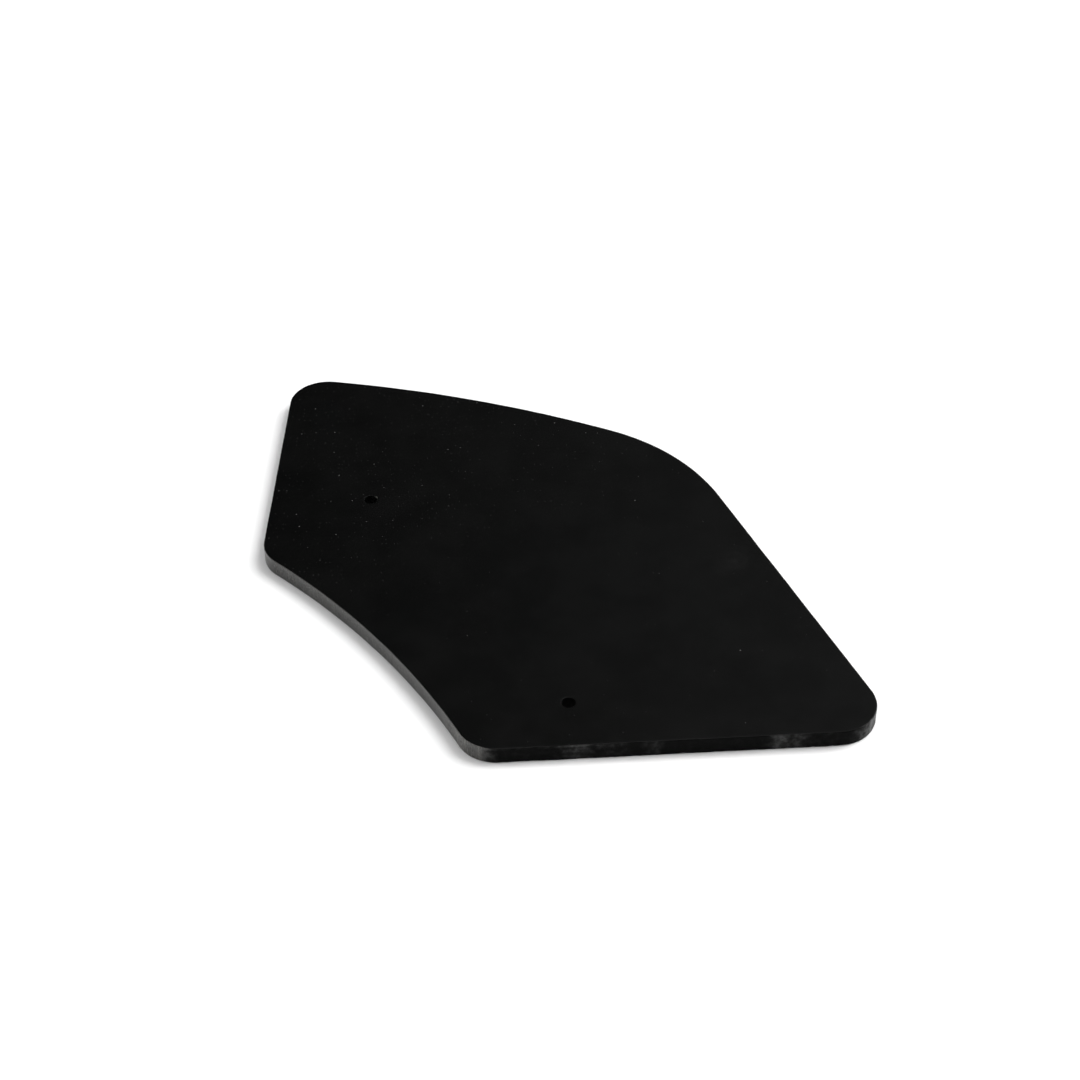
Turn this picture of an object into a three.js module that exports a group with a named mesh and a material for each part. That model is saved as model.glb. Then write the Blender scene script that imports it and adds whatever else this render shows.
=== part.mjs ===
// Kick paddle: a flat five-sided blade cut from one piece of sheet plastic, with two drilled screw holes.
// Millimetres, +Z up. The blade lies flat: its underside is at z = 0, its long straight foot runs along +X,
// and the origin is the middle of the underside's bounding box.
import * as THREE from "three";

// The sheet that the blade is cut from
const SHEET_THICKNESS = 3.175;
const BROKEN_EDGE = 0.2;

// The five sides meet at these sharp corners, before the corners are rounded, measured from the heel.
// They are listed anticlockwise as seen from above.
const HEEL = { x: 0, y: 0, rounding: 7 };
const TOE = { x: 70, y: 0, rounding: 7 };
const SHOULDER = { x: 43.3, y: 74.7, rounding: 37.5 };
const TIP = { x: -30, y: 103.1, rounding: 7 };
const ELBOW = { x: -34.9, y: 50.9, rounding: 7 };

// Two of the sides are arcs: the crown swells outwards and the throat is hollowed inwards.
const CROWN_RADIUS = 205;
const THROAT_RADIUS = 145;

// Two plain holes drilled straight through, for small screws
const SCREW_HOLE_DIAMETER = 2.4;
const SCREW_HOLES = [
  { x: -15.5, y: 64.7 },
  { x: 16.5, y: 9.9 },
];

// Each arc, a hole's whole circle among them, is drawn with twice this many straight pieces.
const CURVE_SEGMENTS = 20;

// How often a round's centre is corrected before it counts as settled
const SETTLING_STEPS = 12;

const pointAt = ({ x, y }) => new THREE.Vector2(x, y);

// A straight side. inward(p) is how far p lies inside it, and the unit direction pointing further inside.
function straightSide(from, to) {
  const start = pointAt(from);
  const along = pointAt(to).sub(start).normalize();
  const normal = new THREE.Vector2(-along.y, along.x);
  return {
    inward: (p) => ({ distance: p.clone().sub(start).dot(normal), normal }),
    drawTo: (shape, end) => shape.lineTo(end.x, end.y),
  };
}

// A side that is an arc of a circle. swell is +1 where it bulges out of the blade and -1 where it cuts in.
function arcSide(from, to, radius, swell) {
  const start = pointAt(from);
  const end = pointAt(to);
  const chord = end.clone().sub(start);
  const toInside = new THREE.Vector2(-chord.y, chord.x).normalize();
  const centreDepth = Math.sqrt(radius ** 2 - chord.lengthSq() / 4);
  const middle = start.clone().add(end).multiplyScalar(0.5);
  const centre = middle.addScaledVector(toInside, swell * centreDepth);
  const angleOf = (p) => Math.atan2(p.y - centre.y, p.x - centre.x);
  return {
    inward: (p) => {
      const fromCentre = p.clone().sub(centre);
      return {
        distance: swell * (radius - fromCentre.length()),
        normal: fromCentre.normalize().multiplyScalar(-swell),
      };
    },
    drawTo: (shape, target) => {
      const startAngle = angleOf(shape.currentPoint);
      shape.absarc(centre.x, centre.y, radius, startAngle, angleOf(target), swell < 0);
    },
  };
}

// The round at a corner touches both of its sides. Its centre lies at the same depth, the round's radius,
// inside each: starting from the sharp corner, each step moves it to where both depths would be right if
// the sides were straight.
function roundCorner(corner, before, after) {
  const centre = pointAt(corner);
  for (let step = 0; step < SETTLING_STEPS; step++) {
    const a = before.inward(centre);
    const b = after.inward(centre);
    const cross = a.normal.x * b.normal.y - a.normal.y * b.normal.x;
    const missA = corner.rounding - a.distance;
    const missB = corner.rounding - b.distance;
    centre.x += (missA * b.normal.y - missB * a.normal.y) / cross;
    centre.y += (missB * a.normal.x - missA * b.normal.x) / cross;
  }
  const touch = (side) => centre.clone().addScaledVector(side.inward(centre).normal, -corner.rounding);
  return { centre, radius: corner.rounding, start: touch(before), end: touch(after) };
}

// The blade's outline: five sides joined by five rounds
function bladeOutline() {
  const corners = [HEEL, TOE, SHOULDER, TIP, ELBOW];
  const sides = [
    straightSide(HEEL, TOE),
    straightSide(TOE, SHOULDER),
    arcSide(SHOULDER, TIP, CROWN_RADIUS, 1),
    straightSide(TIP, ELBOW),
    arcSide(ELBOW, HEEL, THROAT_RADIUS, -1),
  ];
  const rounds = corners.map((corner, i) =>
    roundCorner(corner, sides[(i + sides.length - 1) % sides.length], sides[i]),
  );
  const shape = new THREE.Shape();
  shape.moveTo(rounds[0].start.x, rounds[0].start.y);
  rounds.forEach(({ centre, radius, start, end }, i) => {
    const angleOf = (p) => Math.atan2(p.y - centre.y, p.x - centre.x);
    shape.absarc(centre.x, centre.y, radius, angleOf(start), angleOf(end), false);
    sides[i].drawTo(shape, rounds[(i + 1) % rounds.length].start);
  });
  return shape;
}

function screwHole({ x, y }) {
  return new THREE.Path().absarc(x, y, SCREW_HOLE_DIAMETER / 2, 0, 2 * Math.PI, true);
}

// The blade: its outline and holes carried up through the sheet, with every sharp edge lightly broken
function paddleBlade() {
  const outline = bladeOutline();
  outline.holes = SCREW_HOLES.map(screwHole);
  const geometry = new THREE.ExtrudeGeometry(outline, {
    depth: SHEET_THICKNESS - 2 * BROKEN_EDGE,
    curveSegments: CURVE_SEGMENTS,
    bevelEnabled: true,
    bevelSegments: 1,
    bevelThickness: BROKEN_EDGE,
    bevelSize: BROKEN_EDGE,
    bevelOffset: -BROKEN_EDGE,
  });
  geometry.computeBoundingBox();
  const { min, max } = geometry.boundingBox;
  geometry.translate(-(min.x + max.x) / 2, -(min.y + max.y) / 2, -min.z);
  const blackSheet = new THREE.MeshStandardMaterial({ color: 0x0c0d0c, roughness: 0.25, metalness: 0 });
  const blade = new THREE.Mesh(geometry, blackSheet);
  blade.name = "paddle_blade";
  return blade;
}

const kickPaddle = new THREE.Group();
kickPaddle.add(paddleBlade());

export default kickPaddle;
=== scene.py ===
"""Kick paddle: a flat black plastic blade, saw cut from sheet and lightly dressed, lying on a pale floor.

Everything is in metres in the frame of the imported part: +Z up, the underside at z = 0, the long straight
foot along +X and the tip towards +Y. The corners, the holes and the stretches of the foot are measured from
the sharp corner at the heel, and blade_mesh moves them into that frame.
"""
import math
from functools import partial

import bpy
import numpy as np
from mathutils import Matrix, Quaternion, Vector
from mathutils.geometry import delaunay_2d_cdt


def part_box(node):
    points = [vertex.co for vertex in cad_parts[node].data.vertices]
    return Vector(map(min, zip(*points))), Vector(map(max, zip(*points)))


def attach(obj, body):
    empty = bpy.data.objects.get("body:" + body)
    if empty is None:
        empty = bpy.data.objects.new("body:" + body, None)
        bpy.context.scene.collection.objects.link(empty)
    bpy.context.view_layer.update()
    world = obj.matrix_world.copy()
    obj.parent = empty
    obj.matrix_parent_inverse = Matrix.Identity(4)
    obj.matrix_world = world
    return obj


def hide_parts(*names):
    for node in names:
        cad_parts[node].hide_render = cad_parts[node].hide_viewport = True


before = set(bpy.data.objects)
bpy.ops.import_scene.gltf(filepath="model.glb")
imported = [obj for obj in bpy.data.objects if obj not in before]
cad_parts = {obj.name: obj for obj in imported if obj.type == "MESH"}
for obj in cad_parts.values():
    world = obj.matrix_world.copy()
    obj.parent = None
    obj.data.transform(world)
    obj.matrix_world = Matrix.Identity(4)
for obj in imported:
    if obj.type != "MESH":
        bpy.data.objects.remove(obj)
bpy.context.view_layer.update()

MM = 0.001
BLADE = "paddle_blade"
LOW, HIGH = (np.array(corner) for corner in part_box(BLADE))
THICKNESS = HIGH[2] - LOW[2]

# The sharp corners in the order heel, toe, shoulder, tip, elbow, and the radii that they are rounded to
CORNERS = np.array([(0, 0), (70, 0), (43.3, 74.7), (-30, 103.1), (-34.9, 50.9)]) * MM
ROUNDING = np.array([7, 7, 37.5, 7, 7]) * MM
# The side after each corner: the radius of its arc, and whether it swells out (+1), cuts in (-1) or is
# straight (0)
SIDE_RADIUS = np.array([0, 0, 205, 0, 145]) * MM
SIDE_SWELL = np.array([0, 0, 1, 0, -1])
# How often a round's centre is corrected before it counts as settled
SETTLING_STEPS = 12

# The screw holes, first the one nearer the tip
TIP_HOLE, HEEL_HOLE = np.array([(-15.5, 64.7), (16.5, 9.9)]) * MM
HOLE_RADIUS = 1.2 * MM

# How finely the skin is divided
EDGE_STEP = 0.14 * MM
HOLE_COLUMNS = 96
ROUND_ROWS = 6
WALL_ROWS = 12
FACE_STEP = 1.5 * MM
# How wide a band of the flat face goes with the edge, and how far the face's own points keep from the rims.
# That distance is measured to every sixth point of the outline, and in batches, to save time and memory.
FLAT_BAND = 0.35 * MM
FACE_CLEARANCE = 0.6 * FACE_STEP
RIM_STRIDE = 6
RIM_BATCHES = 12

# The edge's broken rims: their radius, the share by which it wavers, and what chipping adds to the lower one
# where the cut is torn. Chips take half of that on average, and broad and fine ones vary it by these shares.
BROKEN_EDGE = 0.10 * MM
RIM_WAVER = 0.3
TORN_LOWER_RIM = 0.32 * MM
BROAD_CHIPS = 0.3
FINE_CHIPS = 0.2

# The cut's relief: how far it stands in on average, and what each kind of mark adds either way
MEAN_RELIEF = 0.020 * MM
SLOW_WAVES = 0.010 * MM
CUTTER_LEAN = 0.008 * MM
TOOTH_RIPPLES = 0.004 * MM
TEARS = 0.016 * MM
FINE_TEARS = 0.6

# The hole walls: their broken rims, and the rings that the drill leaves
HOLE_RIM = 0.06 * MM
DRILL_RING_PITCH = 0.45 * MM
DRILL_RING_DEPTH = 0.006 * MM
# A nick in the upper rim of the tip hole: its direction from the hole's centre, its width and its depth
NICK_TOWARDS = math.radians(32)
NICK_HALF_WIDTH = math.radians(16)
NICK_DEPTH = 0.17 * MM

# Most of the cut is smooth. The foot was sawn and left torn, and some stretches of it came out smoother:
# middle and half length in mm along the foot, and how smooth. What lies within the foot's reach, measured
# square to it, counts as the foot.
SMOOTH_STRETCHES = np.array([
    (0.8, 5, 0.22), (17, 4.5, 0.30), (22.5, 4.5, 0.16), (29.5, 2.4, 0.22), (50.2, 3, 0.42), (53.4, 3.2, 0.30),
    (57.5, 3, 0.10),
])
FOOT_REACH = 3 * MM
# How torn the cut is where the outline turns: degrees from +X to its outward normal, and share
TURN_OF_CUT = np.array([-180, -122, -106, -92, -82, -63, -39, -16, 10, 180])
TORN_AT_TURN = np.array([0, 0.09, 0.76, 0.95, 1, 0.70, 0.46, 0.63, 0.4, 0])
# The same for how grey the cut is, from scuffing and a painted reflection that is greyest where the cut faces
# left and down-left; it doubles at the heel
SCUFF_AND_SHEEN_AT_TURN = np.array([0.6, 0.75, 0.3, 0.1, 0.1, 0.1, 0.2, 0.3, 0.4, 0.5])
HEEL_SCUFF_AND_SHEEN_REACH = 14 * MM

# The blade's material slots, in order
SHEET_FACE, CUT_EDGE, DRILLED_WALL = range(3)


# ---------------------------------------------------------------------------------------------------------
# Smooth random numbers


def smooth_step(low, high, x):
    """0 at low and before it, 1 at high and past it, and 3t^2 - 2t^3 in between. low may be the larger."""
    t = np.clip((x - low) / (high - low), 0, 1)
    return t * t * (3 - 2 * t)


def lattice_noise(seed, u, v, cells_u, cells_v):
    """Smooth noise over a strip that closes on itself along u.

    Random heights from -1 to 1 stand on a lattice of cells_u by cells_v. u runs once round in 0 to 1 and v
    goes from 0 to 1 across. Between lattice points the heights are joined by the smooth step 3t^2 - 2t^3
    along each direction.
    """
    heights = np.random.default_rng(seed).uniform(-1, 1, (cells_u, cells_v + 2))
    x = np.mod(u, 1.0) * cells_u
    y = np.clip(v, 0, 1) * cells_v
    i, j = np.floor(x).astype(int), np.floor(y).astype(int)
    a, b = smooth_step(0, 1, x - i), smooth_step(0, 1, y - j)
    left, right = i % cells_u, (i + 1) % cells_u
    near = heights[left, j] * (1 - a) + heights[right, j] * a
    far = heights[left, j + 1] * (1 - a) + heights[right, j + 1] * a
    return near * (1 - b) + far * b


def loop_noise(seed, u, cells):
    """The same with no second direction: smooth noise along a line that closes on itself."""
    return lattice_noise(seed, u, np.zeros_like(u), cells, 1)


# ---------------------------------------------------------------------------------------------------------
# The blade's outline


def unit(v):
    return v / np.linalg.norm(v)


def line_depth(start, inwards, p):
    """How far p lies inside a straight side, which is its distance from the line, and the way further in."""
    return (p - start) @ inwards, inwards


def arc_depth(centre, radius, swell, p):
    """The same for an arc: its radius less p's distance from its centre, or the reverse where it cuts in."""
    out = p - centre
    return swell * (radius - np.linalg.norm(out)), -swell * unit(out)


def side(i):
    """The depth function of the side after corner i, and the centre of its arc, None where it is straight.

    An arc's centre lies on the line through the middle of its chord, square to it.
    """
    start, end = CORNERS[i], CORNERS[(i + 1) % len(CORNERS)]
    chord = end - start
    inwards = unit(np.array((-chord[1], chord[0])))
    swell, radius = SIDE_SWELL[i], SIDE_RADIUS[i]
    if swell == 0:
        return partial(line_depth, start, inwards), None
    centre = (start + end) / 2 + inwards * swell * math.sqrt(radius**2 - chord @ chord / 4)
    return partial(arc_depth, centre, radius, swell), centre


def round_corner(i):
    """Centre of the round at corner i, and where it touches the side before and the side after.

    The centre is as deep inside both sides as the round's radius. From the sharp corner, each step goes to
    where both depths would be right if the sides were straight.
    """
    before, after = side(i - 1)[0], side(i)[0]
    centre, radius = CORNERS[i], ROUNDING[i]
    for _ in range(SETTLING_STEPS):
        (depth_a, in_a), (depth_b, in_b) = before(centre), after(centre)
        centre = centre + np.linalg.solve((in_a, in_b), (radius - depth_a, radius - depth_b))
    return centre, centre - radius * before(centre)[1], centre - radius * after(centre)[1]


def arc(centre, start, end, turn):
    """Length of an arc, and a function giving the points and outward normals at lengths along it.

    turn is +1 where the outline bends left, so its outside is away from the centre, and -1 where it bends
    right.
    """
    radius = np.linalg.norm(start - centre)
    first = math.atan2(*(start - centre)[::-1])
    last = math.atan2(*(end - centre)[::-1])
    sweep = (turn * (last - first)) % (2 * math.pi)

    def at(length):
        angle = first + turn * length / radius
        out = np.stack((np.cos(angle), np.sin(angle)), 1)
        return centre + radius * out, turn * out

    return radius * sweep, at


def line(start, end):
    """The same for a straight stretch: its outside is on the right of its direction."""
    along = unit(end - start)
    outside = np.array((along[1], -along[0]))

    def at(length):
        return start + length[:, None] * along, np.broadcast_to(outside, (len(length), 2))

    return np.linalg.norm(end - start), at


def outline():
    """Points round the blade at equal steps, outward normals, distances round it, and its whole length.

    The outline is five rounds and five sides in turn, anticlockwise from the start of the heel's round, so
    a point is found from its distance along whichever of the ten stretches it falls on.
    """
    rounds = [round_corner(i) for i in range(len(CORNERS))]
    stretches = []
    for i, (centre, start, end) in enumerate(rounds):
        stretches.append(arc(centre, start, end, 1))
        following = rounds[(i + 1) % len(rounds)][1]
        side_centre = side(i)[1]
        if side_centre is None:
            stretches.append(line(end, following))
        else:
            stretches.append(arc(side_centre, end, following, SIDE_SWELL[i]))
    starts = np.concatenate(([0], np.cumsum([length for length, _ in stretches])))
    total = starts[-1]
    count = int(round(total / EDGE_STEP))
    distance = np.arange(count) * total / count
    points, normals = np.empty((count, 2)), np.empty((count, 2))
    for (_, at), start, end in zip(stretches, starts, starts[1:]):
        here = (distance >= start) & (distance < end)
        points[here], normals[here] = at(distance[here] - start)
    return points, normals, distance, total


# ---------------------------------------------------------------------------------------------------------
# The cut edge and the hole walls


def edge_profile(upper, lower):
    """Inset and height of each row of an edge, from the upper face over the edge to the underside.

    upper and lower are the radii of the two broken rims at each column. The profile is a quarter circle, a
    straight wall and another quarter circle. A row further in on each face, a band's width away, keeps the
    face's own normal flat.
    """
    angle = np.linspace(math.pi / 2, 0, ROUND_ROWS)
    a, b = upper[:, None], lower[:, None]
    share = np.linspace(0, 1, WALL_ROWS + 2)[1:-1]
    wall = THICKNESS - a - share * (THICKNESS - a - b)
    inset = np.hstack((
        a + FLAT_BAND, a * (1 - np.cos(angle)), 0 * wall, b * (1 - np.cos(angle[::-1])), b + FLAT_BAND,
    ))
    height = np.hstack((
        0 * a + THICKNESS, THICKNESS - a * (1 - np.sin(angle)), wall, b * (1 - np.sin(angle[::-1])), 0 * b,
    ))
    return inset, height


def edge_skin(points, normals, upper, lower, relief):
    """A grid of vertices, column by row: the edge profile carried along a closed outline.

    relief is a function from the heights to how much further in the edge stands there.
    """
    inset, height = edge_profile(upper, lower)
    depth = inset + relief(height)
    place = points[:, None] - depth[..., None] * normals[:, None]
    return np.concatenate((place, height[..., None]), -1)


def turn_of(normals):
    """Degrees from +X to each normal."""
    return np.degrees(np.arctan2(normals[:, 1], normals[:, 0]))


def torn_share(points, normals):
    """How torn the cut is at each column, from 0 on a smooth cut to 1.

    Only the foot and the corners beside it are torn. Each smoother stretch of the foot takes its own share
    off, with soft ends.
    """
    middle, half, smooth = SMOOTH_STRETCHES.T
    away = np.abs(points[:, :1] / MM - middle) / half
    foot = smooth_step(FOOT_REACH, 0, points[:, 1])
    smoother = foot * (smooth * (1 - smooth_step(0.2, 1, away))).max(1)
    return np.interp(turn_of(normals), TURN_OF_CUT, TORN_AT_TURN) * (1 - smoother)


def scuff_and_sheen_share(points, normals):
    """How grey the cut is at each column, from scuffing and painted reflection: a share by its turn, doubled
    near the heel.
    """
    heel = smooth_step(HEEL_SCUFF_AND_SHEEN_REACH, HEEL_SCUFF_AND_SHEEN_REACH / 2, np.linalg.norm(points, axis=1))
    return (1 + heel) * np.interp(turn_of(normals), TURN_OF_CUT, SCUFF_AND_SHEEN_AT_TURN)


def edge_rims(share_round, torn):
    """Radii of the edge's upper and lower rims at each column: a wavering one, and that plus the chips."""
    upper = BROKEN_EDGE * (1 + RIM_WAVER * loop_noise(21, share_round, 150))
    broad = loop_noise(22, share_round, 130)
    fine = loop_noise(23, share_round, 420)
    chips = 0.5 + BROAD_CHIPS * broad + FINE_CHIPS * fine
    return upper, upper + TORN_LOWER_RIM * torn * chips


def cut_relief(share_round, torn, height):
    """How far the cut edge stands in from its true outline, from the tool that cut it.

    Slow waves come from the hand that guided the sheet, a lean that changes along the cut and upright
    ripples from the cutter, and the torn stretches add two sizes of coarser noise.
    """
    u = share_round[:, None] + 0 * height
    v = height / THICKNESS
    slow = loop_noise(11, u, 90)
    lean = lattice_noise(12, u, v, 60, 2)
    ripple = lattice_noise(13, u, 0.4 * v, 620, 2)
    tear = lattice_noise(14, u, v, 420, 6) + FINE_TEARS * lattice_noise(15, u, v, 900, 12)
    smooth_cut = MEAN_RELIEF + SLOW_WAVES * slow + CUTTER_LEAN * lean + TOOTH_RIPPLES * ripple
    return smooth_cut + TEARS * torn[:, None] * tear


def drill_relief(height):
    """The hole wall's shallow rings, one to each turn of the drill: a sine of the height."""
    return DRILL_RING_DEPTH * np.sin(2 * math.pi * height / DRILL_RING_PITCH)


def hole_directions():
    """The angles of a hole wall's columns, clockwise."""
    return -np.arange(HOLE_COLUMNS) * 2 * math.pi / HOLE_COLUMNS


def nick_share():
    """The nick at each column of a hole's wall, from 0 to 1: a bell curve round the nick's direction."""
    away = np.arccos(np.cos(hole_directions() - NICK_TOWARDS)) / NICK_HALF_WIDTH
    return np.exp(-away**2)


def hole_wall(centre, nick):
    """A hole's wall, clockwise so that it faces into the hole. nick deepens its upper rim at each column."""
    angle = hole_directions()
    out = np.stack((np.cos(angle), np.sin(angle)), 1)
    rim = np.full(HOLE_COLUMNS, HOLE_RIM)
    return edge_skin(centre + HOLE_RADIUS * out, -out, rim + nick, rim, drill_relief)


# ---------------------------------------------------------------------------------------------------------
# The two flat faces, and the whole skin


def flat_points(loops):
    """A triangular lattice of points inside the outermost loop's box, clear of every loop."""
    low, high = loops[0].min(0), loops[0].max(0)
    rise = FACE_STEP * math.sqrt(0.75)
    rows = np.arange(low[1], high[1], rise)
    columns = np.arange(low[0], high[0], FACE_STEP)
    x = columns[None] + (np.arange(len(rows)) % 2)[:, None] * FACE_STEP / 2
    lattice = np.stack((x, np.broadcast_to(rows[:, None], x.shape)), -1).reshape(-1, 2)
    rim = np.concatenate([loops[0][::RIM_STRIDE], *loops[1:]])
    nearest = np.full(len(lattice), np.inf)
    for part in np.array_split(rim, RIM_BATCHES):
        gap = np.linalg.norm(lattice[:, None] - part[None], axis=2).min(1)
        nearest = np.minimum(nearest, gap)
    return lattice[nearest > FACE_CLEARANCE]


def inside(points, loop):
    """True for each point inside a loop: a ray to the right crosses the loop an odd number of times."""
    a, b = loop, np.roll(loop, -1, 0)
    x, y = points[:, 0, None], points[:, 1, None]
    spans = (a[:, 1] > y) != (b[:, 1] > y)
    rise = np.where(b[:, 1] == a[:, 1], 1, b[:, 1] - a[:, 1])
    crossing = a[:, 0] + (y - a[:, 1]) / rise * (b[:, 0] - a[:, 0])
    return (spans & (x < crossing)).sum(1) % 2 == 1


def face_triangles(loops, extra):
    """Triangles over a flat face bounded by loops, the first its outline and the others its holes.

    Returns indices into the loops' points, one loop after another, followed by the extra points.
    """
    points = np.concatenate((*loops, extra))
    sizes = [len(loop) for loop in loops]
    edges = []
    for first, size in zip(np.cumsum([0, *sizes]), sizes):
        ring = first + np.arange(size)
        edges.append(np.stack((ring, np.roll(ring, -1)), 1))
    coordinates = [Vector(p) for p in points.tolist()]
    found = delaunay_2d_cdt(coordinates, np.concatenate(edges).tolist(), [], 1, 1e-9)
    if len(found[0]) != len(points):
        raise ValueError("the face's points don't all stay separate")
    triangles = np.array(found[2])
    middle = points[triangles].mean(1)
    keep = inside(middle, loops[0])
    for loop in loops[1:]:
        keep &= ~inside(middle, loop)
    return triangles[keep]


def grid_faces(first, columns, rows):
    """Quads of a grid that closes on itself along its columns: vertex first + column * rows + row."""
    c, r = np.meshgrid(np.arange(columns), np.arange(rows - 1), indexing="ij")
    following = (c + 1) % columns
    corners = (c * rows + r, c * rows + r + 1, following * rows + r + 1, following * rows + r)
    return first + np.stack(corners, -1).reshape(-1, 4)


def closed_skin(walls):
    """Vertices, quads and triangles of the skin that the walls and the two flat faces between them make.

    The vertices are each wall's in turn, then the upper face's own and the underside's. A wall's first row
    is also the rim of the upper face and its last row that of the underside, and both faces share one set
    of triangles, turned over for the underside.
    """
    rows = walls[0].shape[1]
    columns = [len(wall) for wall in walls]
    firsts = np.cumsum([0] + [count * rows for count in columns])
    quads = np.concatenate([grid_faces(first, count, rows) for first, count in zip(firsts, columns)])
    loops = [wall[:, 0, :2] for wall in walls]
    extra = flat_points(loops)
    triangles = face_triangles(loops, extra)
    rim = np.concatenate([first + np.arange(count) * rows for first, count in zip(firsts, columns)])
    own = firsts[-1] + np.arange(len(extra))
    upper = np.concatenate((rim, own))
    lower = np.concatenate((rim + rows - 1, own + len(extra)))
    faces = np.concatenate((upper[triangles], lower[triangles[:, ::-1]]))
    level = np.full((len(extra), 1), THICKNESS)
    skin = [wall.reshape(-1, 3) for wall in walls]
    vertices = np.concatenate((*skin, np.hstack((extra, level)), np.hstack((extra, 0 * level))))
    return vertices, quads, faces


def quad_slots(walls):
    """The material slot of each quad: the first wall is cut and the others are drilled.

    A wall's first and last bands lie flat and belong to the sheet's face.
    """
    bands = walls[0].shape[1] - 1
    slots = []
    for i, wall in enumerate(walls):
        band = np.full(bands, DRILLED_WALL if i else CUT_EDGE)
        band[[0, -1]] = SHEET_FACE
        slots.append(np.tile(band, len(wall)))
    return np.concatenate(slots)


def blade_mesh():
    """The blade's closed skin: one long edge, two hole walls, and two flat faces between them.

    Its attributes say, along the edge, how torn the cut is, how grey it is from scuffing and painted
    reflection, and how far round it runs. The nick's painted glint is written into the grey attribute on the
    tip hole's wall.
    """
    points, normals, distance, total = outline()
    shift = (LOW[:2] + HIGH[:2]) / 2 - (points.min(0) + points.max(0)) / 2
    # The grey share is scuffing and painted reflection, greyest where the cut faces left and down-left
    torn, scuff_and_sheen = torn_share(points, normals), scuff_and_sheen_share(points, normals)
    share_round, nick = distance / total, nick_share()
    relief = partial(cut_relief, share_round, torn)
    walls = [
        edge_skin(points + shift, normals, *edge_rims(share_round, torn), relief),
        hole_wall(TIP_HOLE + shift, NICK_DEPTH * nick),
        hole_wall(HEEL_HOLE + shift, 0 * nick),
    ]
    vertices, quads, triangles = closed_skin(walls)
    mesh = bpy.data.meshes.new("blade")
    mesh.from_pydata(vertices.tolist(), [], quads.tolist() + triangles.tolist())
    mesh.shade_smooth()
    slots = np.full(len(quads) + len(triangles), SHEET_FACE, dtype=np.int32)
    slots[: len(quads)] = quad_slots(walls)
    mesh.polygons.foreach_set("material_index", slots)
    rows = walls[0].shape[1]
    # On the tip hole's wall the grey attribute carries the nick's painted glint
    marks = {"torn": torn, "scuff_and_sheen": np.concatenate((scuff_and_sheen, nick)), "run": distance}
    for name, along in marks.items():
        values = np.zeros(len(vertices), dtype=np.float32)
        values[: len(along) * rows] = np.repeat(along, rows)
        mesh.attributes.new(name, "FLOAT", "POINT").data.foreach_set("value", values)
    return mesh


# ---------------------------------------------------------------------------------------------------------
# Short calls for nodes


class Nodes:
    """A node tree, with short calls that add and join nodes in it."""

    def __init__(self, tree):
        self.nodes, self.links = tree.nodes, tree.links

    def add(self, kind, **settings):
        node = self.nodes.new(kind)
        for name, value in settings.items():
            setattr(node, name, value)
        return node

    def put(self, value, socket):
        """Links an output to a socket, or sets a plain value on it."""
        if isinstance(value, bpy.types.NodeSocket):
            self.links.new(value, socket)
        else:
            socket.default_value = value

    def feed(self, node, **inputs):
        """Puts values on a node's sockets by name: From_Min=0.2 goes to "From Min"."""
        for name, value in inputs.items():
            self.put(value, node.inputs[name.replace("_", " ")])
        return node

    def math(self, operation, *values):
        node = self.add("ShaderNodeMath", operation=operation)
        for value, socket in zip(values, node.inputs):
            self.put(value, socket)
        return node.outputs[0]

    def total(self, first, *others):
        """The sum of several values."""
        for value in others:
            first = self.math("ADD", first, value)
        return first

    def product(self, first, *others):
        """The product of several values."""
        for value in others:
            first = self.math("MULTIPLY", first, value)
        return first

    def vector_math(self, operation, *values):
        node = self.add("ShaderNodeVectorMath", operation=operation)
        for value, socket in zip(values, node.inputs):
            self.put(value, socket)
        return node

    def reach(self, vector, direction):
        """How far a vector goes in a direction: their dot product."""
        return self.vector_math("DOT_PRODUCT", vector, direction).outputs["Value"]

    def split(self, vector):
        """A vector's outputs "X", "Y" and "Z"."""
        return self.feed(self.add("ShaderNodeSeparateXYZ"), Vector=vector).outputs

    def ramp(self, value, low, high, bottom=0.0, top=1.0):
        """bottom below low, top above high, and the smooth step between them in between."""
        node = self.add("ShaderNodeMapRange", interpolation_type="SMOOTHSTEP")
        self.feed(node, Value=value, From_Min=low, From_Max=high, To_Min=bottom, To_Max=top)
        return node.outputs["Result"]


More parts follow.
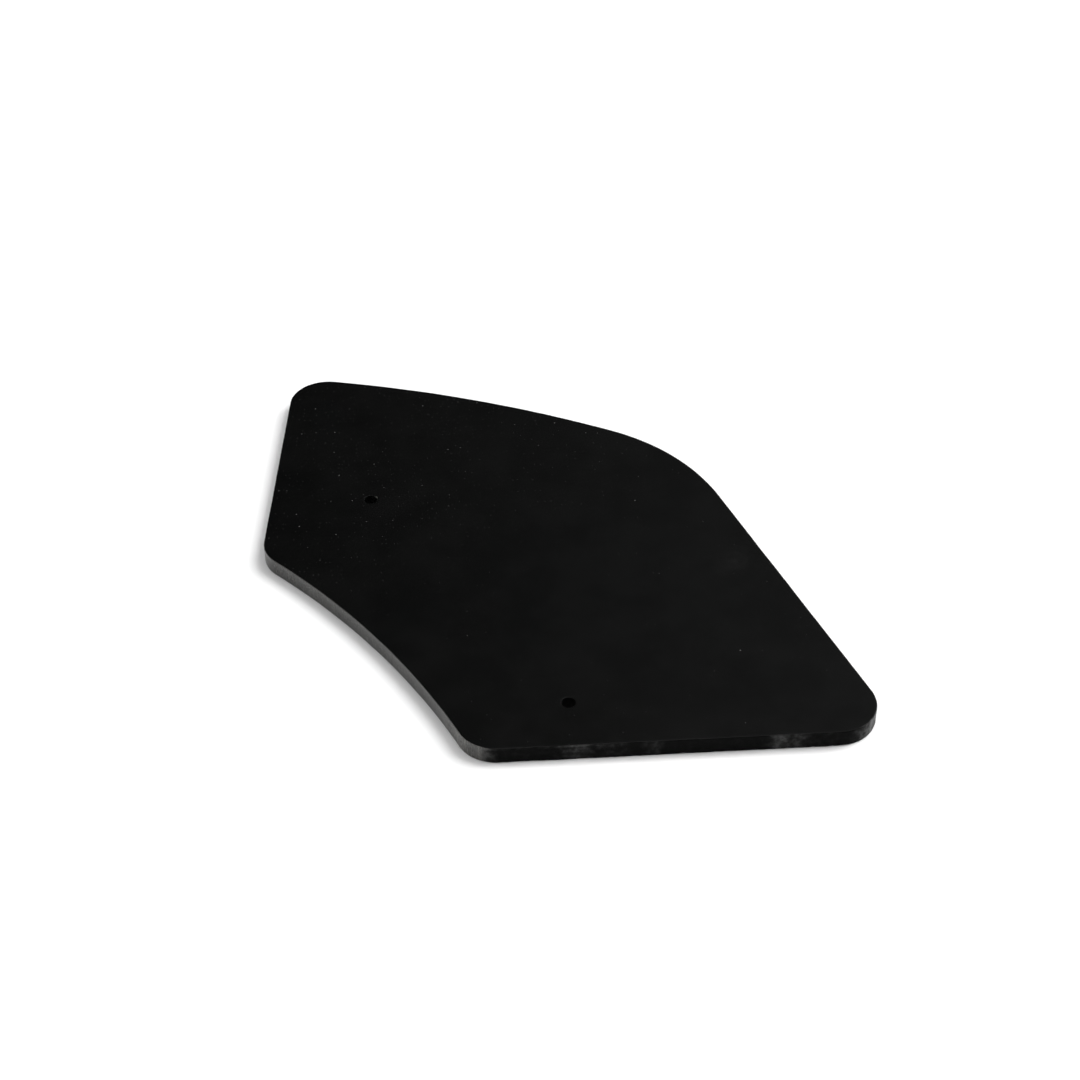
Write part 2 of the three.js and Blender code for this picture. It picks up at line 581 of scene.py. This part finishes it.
class Finish(Nodes):
    """A material with a Principled shader, and calls for the patterns that feed it."""

    def __init__(self, name):
        self.material = bpy.data.materials.new(name)
        self.material.use_nodes = True
        super().__init__(self.material.node_tree)
        self.shader = self.nodes["Principled BSDF"]
        self.place = self.add("ShaderNodeTexCoord").outputs["Object"]

    def attribute(self, name):
        return self.add("ShaderNodeAttribute", attribute_name=name).outputs["Fac"]

    def stretched(self, stretch, turn=0.0, centre=(0, 0, 0)):
        """Object coordinates turned about the vertical and then stretched, from a centre."""
        moved = self.add("ShaderNodeMapping", vector_type="TEXTURE")
        self.feed(moved, Vector=self.place, Location=centre, Rotation=(0, 0, turn))
        return self.vector_math("MULTIPLY", moved.outputs[0], stretch).outputs[0]

    def noise(self, size, place=None, detail=2.0, rough=0.5):
        """Cloudy noise from 0 to 1 whose patches are about size across."""
        node = self.add("ShaderNodeTexNoise", noise_dimensions="3D")
        self.feed(node, Vector=place or self.place, Scale=1 / size, Detail=detail, Roughness=rough)
        return node.outputs["Fac"]

    def flecks(self, spacing, radius, share):
        """1 inside small round flecks and 0 outside. A share of the cells, spacing across, holds one.

        Each cell's random colour gives its fleck's size, from SMALLEST_FLECK of the radius to all of it, and
        whether it is there. A fleck fades out over its rim.
        """
        cells = self.add("ShaderNodeTexVoronoi", voronoi_dimensions="2D", feature="F1")
        self.feed(cells, Vector=self.place, Scale=1 / spacing)
        random = self.feed(self.add("ShaderNodeSeparateColor"), Color=cells.outputs["Color"]).outputs
        reach = self.ramp(random["Red"], 0.0, 1.0, SMALLEST_FLECK * radius / spacing, radius / spacing)
        inside_fleck = self.ramp(self.math("DIVIDE", cells.outputs["Distance"], reach), *FLECK_RIM, 1.0, 0.0)
        return self.product(inside_fleck, self.math("LESS_THAN", random["Green"], share))

    def mix(self, share, below, above):
        """A colour or number between two, by share."""
        node = self.add("ShaderNodeMix", data_type="RGBA")
        for value, i in ((share, 0), (below, 6), (above, 7)):
            self.put(value, node.inputs[i])
        return node.outputs[2]

    def bump(self, height, depth):
        """A bump whose full height stands depth above the surface."""
        node = self.add("ShaderNodeBump")
        return self.feed(node, Height=height, Distance=depth, Strength=1.0).outputs[0]


# ---------------------------------------------------------------------------------------------------------
# Materials

BLACK = (0.0009, 0.0010, 0.00095, 1)
RUBBED_BLACK = (0.006, 0.0062, 0.006, 1)
CUT_BLACK = (0.010, 0.010, 0.0098, 1)
# Grey of the cut's scuffing and painted reflection, and of the nick's painted glint
SCUFF_AND_SHEEN_GREY = (0.085, 0.083, 0.075, 1)
DUST = (0.10, 0.10, 0.097, 1)
FLOOR_WHITE = (0.9, 0.9, 0.9, 1)
PLASTIC_IOR = 1.5

# The bands of noise, which runs from 0 to 1, that a ramp spreads out: the narrower, the harder the contrast
NARROW_BAND = (0.35, 0.65)
MIDDLE_BAND = (0.3, 0.7)
WIDE_BAND = (0.2, 0.8)

# Dust: which way along the face it thickens and from where to where, and how its flecks are spaced
DUST_TOWARDS = (-0.6, 0.8, 0)
DUST_FROM, DUST_TO = -4 * MM, 34 * MM
COARSE_SPACING, COARSE_RADIUS = 3.4 * MM, 0.13 * MM
FINE_SPACING, FINE_RADIUS = 1.1 * MM, 0.08 * MM
FINE_STRENGTH = 0.27
SMALLEST_FLECK = 0.45
FLECK_RIM = (0.6, 1.1)
# The dust lies in patches, and how strongly a coarse fleck shows varies over shorter distances
DUST_PATCHES = 14 * MM
FLECK_VARIATION = 2.3 * MM

# The rubbed spot: its middle, the turn and narrowing of its oval, how far it reaches, how strong it is, and
# the size of the smears in it
RUBBED_MIDDLE = (32 * MM, -8 * MM, 0)
RUBBED_TURN = 0.9
RUBBED_OVAL = (1, 1.6, 0)
RUBBED_REACH = 6.5 * MM
RUBBED_STRENGTH = 0.35
RUBBED_SMEARS = 1.4 * MM

# The satin of the sheet. Hairlines are the top of a noise that is drawn out along them.
SATIN_ROUGHNESS = 0.13
GRAIN_SIZE = 0.16 * MM
GRAIN_DEPTH = 0.0012 * MM
CLOUD_SIZE = 9 * MM
HAIRLINE_SPACING = 0.35 * MM
HAIRLINE_TURN = 0.5
HAIRLINE_STRETCH = (0.03, 1, 0)
HAIRLINE_BAND = (0.72, 0.76)

# The cut: its upper rim stays clean near the heel, down to a depth and along to a place on the foot
CLEAN_RIM_DEPTHS = (0.45 * MM, 0.2 * MM)
CLEAN_RIM_ENDS = (2 * MM, 12 * MM)
# The sizes of the cutter's upright marks and streaks, how little they change with height, and the sizes of
# the blotches and of the torn pits
MARK_SIZE = 0.28 * MM
STREAK_SIZE = 0.55 * MM
CHANGE_WITH_HEIGHT = 0.12
BLOTCH_SIZE = 1.1 * MM
PIT_SIZE = 0.22 * MM
# Height of the finest marks, how many times as deep the pits are, and how little a torn cut shines
CUT_RELIEF_DEPTH = 0.004 * MM
PITS_TO_MARKS = 3.0
TORN_SPECULAR = 0.04

# The drilled wall: fine rings, a smear over them, how deep the nick's painted glint goes and how grey it is
FINE_RING_PITCH = 0.2 * MM
FINE_RING_DEPTH = 0.003 * MM
SMEAR_SIZE = 0.3 * MM
PAINTED_GLINT_DEPTHS = (0.35 * MM, 0.1 * MM)
PAINTED_GLINT_SHARE = 0.45
DRILLED_SPECULAR = 0.12


def sheet_face():
    """The sheet's own satin face: near black, with grain, clouding, hairlines, dust and a rubbed spot.

    Dust is the larger of coarse and fine flecks, whose share grows towards the tip and in patches. The
    rubbed spot is an oval ramp times noise. The colour goes from black to rubbed black by clouding and the
    spot, and on to dust, and the roughness is a sum of shares of grain, clouding, hairlines and those two.
    """
    s = Finish("sheet_face")
    tip_side = s.ramp(s.reach(s.place, DUST_TOWARDS), DUST_FROM, DUST_TO, 0.10, 1.0)
    patches = s.ramp(s.noise(DUST_PATCHES), *NARROW_BAND, 0.35, 1.0)
    share = s.product(tip_side, patches, 0.5)
    strength = s.ramp(s.noise(FLECK_VARIATION), *NARROW_BAND, 0.12, 0.65)
    coarse = s.product(s.flecks(COARSE_SPACING, COARSE_RADIUS, share), strength)
    fine = s.product(s.flecks(FINE_SPACING, FINE_RADIUS, share), FINE_STRENGTH)
    dust = s.math("MAXIMUM", coarse, fine)

    oval = s.stretched(RUBBED_OVAL, RUBBED_TURN, RUBBED_MIDDLE)
    from_middle = s.vector_math("LENGTH", oval).outputs["Value"]
    near = s.ramp(from_middle, 0.2 * MM, RUBBED_REACH, RUBBED_STRENGTH, 0.0)
    rub = s.product(near, s.ramp(s.noise(RUBBED_SMEARS, detail=4.0), *WIDE_BAND, 0.2, 1.0))

    drawn_out = s.stretched(HAIRLINE_STRETCH, HAIRLINE_TURN)
    hairlines = s.ramp(s.noise(HAIRLINE_SPACING, drawn_out, 1.0), *HAIRLINE_BAND)
    grain = s.noise(GRAIN_SIZE, detail=3.0, rough=0.6)
    cloud = s.ramp(s.noise(CLOUD_SIZE, detail=4.0, rough=0.6), *MIDDLE_BAND)

    worn = s.total(s.product(cloud, 0.10), s.product(rub, 0.45))
    roughness = s.total(
        s.product(grain, 0.06),
        s.product(cloud, 0.03),
        s.product(hairlines, 0.015),
        s.product(s.math("MAXIMUM", dust, rub), 0.3),
        SATIN_ROUGHNESS,
    )
    s.feed(
        s.shader,
        Base_Color=s.mix(dust, s.mix(worn, BLACK, RUBBED_BLACK), DUST),
        Roughness=roughness,
        IOR=PLASTIC_IOR,
        Normal=s.bump(grain, GRAIN_DEPTH),
    )
    return s.material


def cut_edge():
    """The cut edge: glossy with fine upright cutter marks, grey from scuffing and painted reflection, and
    dead black where it is torn.

    The marks and streaks are noise over the distance run and, much stretched, the height. The torn share is
    the mesh's own, less a clean upper rim, with blotches added. The grey, which is scuffing and painted
    reflection, is the mesh's grey share times streaks and blotches.
    """
    s = Finish("cut_edge")
    split = s.split(s.place)
    along = s.add("ShaderNodeCombineXYZ")
    s.feed(along, X=s.attribute("run"), Z=s.product(split["Z"], CHANGE_WITH_HEIGHT))
    run = along.outputs[0]
    blotch = s.noise(BLOTCH_SIZE, detail=3.0, rough=0.6)
    marks = s.noise(MARK_SIZE, run, 2.0)
    pits = s.noise(PIT_SIZE, detail=3.0, rough=0.7)

    low, high = (THICKNESS - depth for depth in CLEAN_RIM_DEPTHS)
    rim = s.ramp(split["Z"], low, high, 0.0, 0.15)
    clean_rim = s.product(rim, s.ramp(split["X"], *CLEAN_RIM_ENDS, 1.0, 0.0))
    torn = s.math("SUBTRACT", s.attribute("torn"), clean_rim)
    torn = s.total(torn, s.ramp(blotch, *MIDDLE_BAND, -0.14, 0.14))
    torn = s.ramp(s.product(torn, s.ramp(s.attribute("torn"), 0.0, 0.1)), 0.0, 1.0)

    # The grey, scuffing and painted reflection, spread by streaks and blotches
    streaks = s.ramp(s.noise(STREAK_SIZE, run, 3.0), *NARROW_BAND, -0.4, 0.3)
    streaks = s.product(streaks, s.ramp(s.attribute("scuff_and_sheen"), 0.5, 1.1, 0.25, 1.0))
    uneven = s.total(streaks, s.ramp(blotch, *MIDDLE_BAND, 0.7, 1.15))
    scuff_and_sheen = s.product(s.attribute("scuff_and_sheen"), uneven, 0.5)

    smooth_roughness = s.ramp(marks, *MIDDLE_BAND, 0.19, 0.28)
    torn_roughness = s.ramp(pits, *MIDDLE_BAND, 0.5, 0.75)
    s.feed(
        s.shader,
        Base_Color=s.mix(torn, s.mix(scuff_and_sheen, CUT_BLACK, SCUFF_AND_SHEEN_GREY), BLACK),
        Roughness=s.mix(torn, smooth_roughness, torn_roughness),
        IOR=PLASTIC_IOR,
        Specular_IOR_Level=s.ramp(torn, 0.0, 1.0, 0.5, TORN_SPECULAR),
        Normal=s.bump(s.total(marks, s.product(torn, pits, PITS_TO_MARKS)), CUT_RELIEF_DEPTH),
    )
    return s.material


def drilled_wall():
    """The dull wall that the drill leaves in a screw hole: rings that are a sine of the height, smeared.

    Just under the upper rim it is painted grey by its grey share, which only the nick has: a painted glint.
    """
    s = Finish("drilled_wall")
    height = s.split(s.place)["Z"]
    rings = s.math("SINE", s.product(height, 2 * math.pi / FINE_RING_PITCH))
    smear = s.noise(SMEAR_SIZE)
    low, high = (THICKNESS - depth for depth in PAINTED_GLINT_DEPTHS)
    # A painted glint: grey painted on the nick just under the upper rim
    painted_glint = s.product(s.attribute("scuff_and_sheen"), s.ramp(height, low, high), PAINTED_GLINT_SHARE)
    s.feed(
        s.shader,
        Base_Color=s.mix(painted_glint, BLACK, SCUFF_AND_SHEEN_GREY),
        Roughness=s.ramp(smear, *MIDDLE_BAND, 0.45, 0.65),
        IOR=PLASTIC_IOR,
        Specular_IOR_Level=DRILLED_SPECULAR,
        Normal=s.bump(s.product(rings, smear), FINE_RING_DEPTH),
    )
    return s.material


def floor_paint():
    s = Finish("floor_paint")
    s.feed(s.shader, Base_Color=FLOOR_WHITE, Roughness=0.9)
    return s.material


# ---------------------------------------------------------------------------------------------------------
# The object


def add_object(name, mesh):
    made = bpy.data.objects.new(name, mesh)
    bpy.context.scene.collection.objects.link(made)
    return made


def add_blade():
    blade = add_object("blade", blade_mesh())
    blade.data.materials.append(sheet_face())
    blade.data.materials.append(cut_edge())
    blade.data.materials.append(drilled_wall())
    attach(blade, "root")
    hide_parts(BLADE)


# ---------------------------------------------------------------------------------------------------------
# Floor, light and camera

FLOOR_HALF = 20.0
FLOOR_GAP = 0.02 * MM

# How bright the studio is in each direction. Ring and horizon go by the direction's height z, the sine of
# its elevation, the wall by its x, and the two lamps by the cosine of its angle from the lamp.
RING_OUTER = (0.82, 0.90)
RING_INNER = (0.935, 0.965)
RING_BRIGHTNESS = 2.9
KEY_TOWARDS = Vector((0.64, 0.22, 0.735)).normalized()
KEY_SPREAD = (0.90, 0.98)
KEY_BRIGHTNESS = 8.6
LEFT_TOWARDS = Vector((-1.0, -0.1, 0.45)).normalized()
LEFT_SPREAD = (0.6, 0.95)
LEFT_BRIGHTNESS = 0.45
WALL_SPREAD = (-0.20, 0.50)
WALL_BRIGHTNESS = 0.17
HORIZON_SPREAD = (0.175, 0.215)
HORIZON_BRIGHTNESS = 1.0
ROOM_BRIGHTNESS = 0.005

CAMERA_PLACE = Vector((-0.02078, -0.29764, 0.25782))
CAMERA_TILT_DOWN = math.radians(40.454)
CAMERA_TURN_RIGHT = math.radians(3.669)
CAMERA_ROLL = math.radians(-0.201)
CAMERA_LENS = 73.33
CAMERA_SENSOR = 36
CAMERA_NEAREST = 0.01


def add_floor():
    mesh = bpy.data.meshes.new("floor")
    signs = ((-1, -1), (1, -1), (1, 1), (-1, 1))
    corners = [(x * FLOOR_HALF, y * FLOOR_HALF, -FLOOR_GAP) for x, y in signs]
    mesh.from_pydata(corners, [], [(0, 1, 2, 3)])
    mesh.materials.append(floor_paint())
    floor = add_object("floor", mesh)


def add_studio():
    """A soft white studio round the blade.

    A ring of light hangs overhead, open in the middle. A smaller, brighter lamp stands high on the right, a
    weak one on the left, and the horizon is white all round. The wall behind the blade, which its upper
    face mirrors, is dark, and a little less so to the right.
    """
    world = bpy.data.worlds.new("studio")
    bpy.context.scene.world = world
    world.use_nodes = True
    s = Nodes(world.node_tree)
    direction = s.add("ShaderNodeTexCoord").outputs["Generated"]
    split = s.split(direction)
    ring = s.math(
        "SUBTRACT",
        s.ramp(split["Z"], *RING_OUTER, 0.0, RING_BRIGHTNESS),
        s.ramp(split["Z"], *RING_INNER, 0.0, RING_BRIGHTNESS),
    )
    key = s.ramp(s.reach(direction, KEY_TOWARDS), *KEY_SPREAD, 0.0, KEY_BRIGHTNESS)
    left = s.ramp(s.reach(direction, LEFT_TOWARDS), *LEFT_SPREAD, 0.0, LEFT_BRIGHTNESS)
    wall = s.ramp(split["X"], *WALL_SPREAD, 0.0, WALL_BRIGHTNESS)
    horizon = s.ramp(split["Z"], *HORIZON_SPREAD, HORIZON_BRIGHTNESS, 0.0)
    brightness = s.total(ring, key, left, s.math("MAXIMUM", wall, horizon), ROOM_BRIGHTNESS)
    s.feed(s.nodes["Background"], Color=brightness, Strength=1.0)


def add_camera():
    data = bpy.data.cameras.new("camera")
    data.sensor_width = CAMERA_SENSOR
    data.lens = CAMERA_LENS
    data.clip_start = CAMERA_NEAREST
    camera = add_object("camera", data)
    camera.location = CAMERA_PLACE
    turn = Quaternion((0, 0, 1), -CAMERA_TURN_RIGHT)
    tilt = Quaternion((1, 0, 0), math.pi / 2 - CAMERA_TILT_DOWN)
    roll = Quaternion((0, 0, 1), CAMERA_ROLL)
    camera.rotation_mode = "QUATERNION"
    camera.rotation_quaternion = turn @ tilt @ roll
    bpy.context.scene.camera = camera


def set_view():
    settings = bpy.context.scene.view_settings
    settings.view_transform = "Standard"
    settings.look = "None"


add_blade()
add_floor()
add_studio()
add_camera()
set_view()
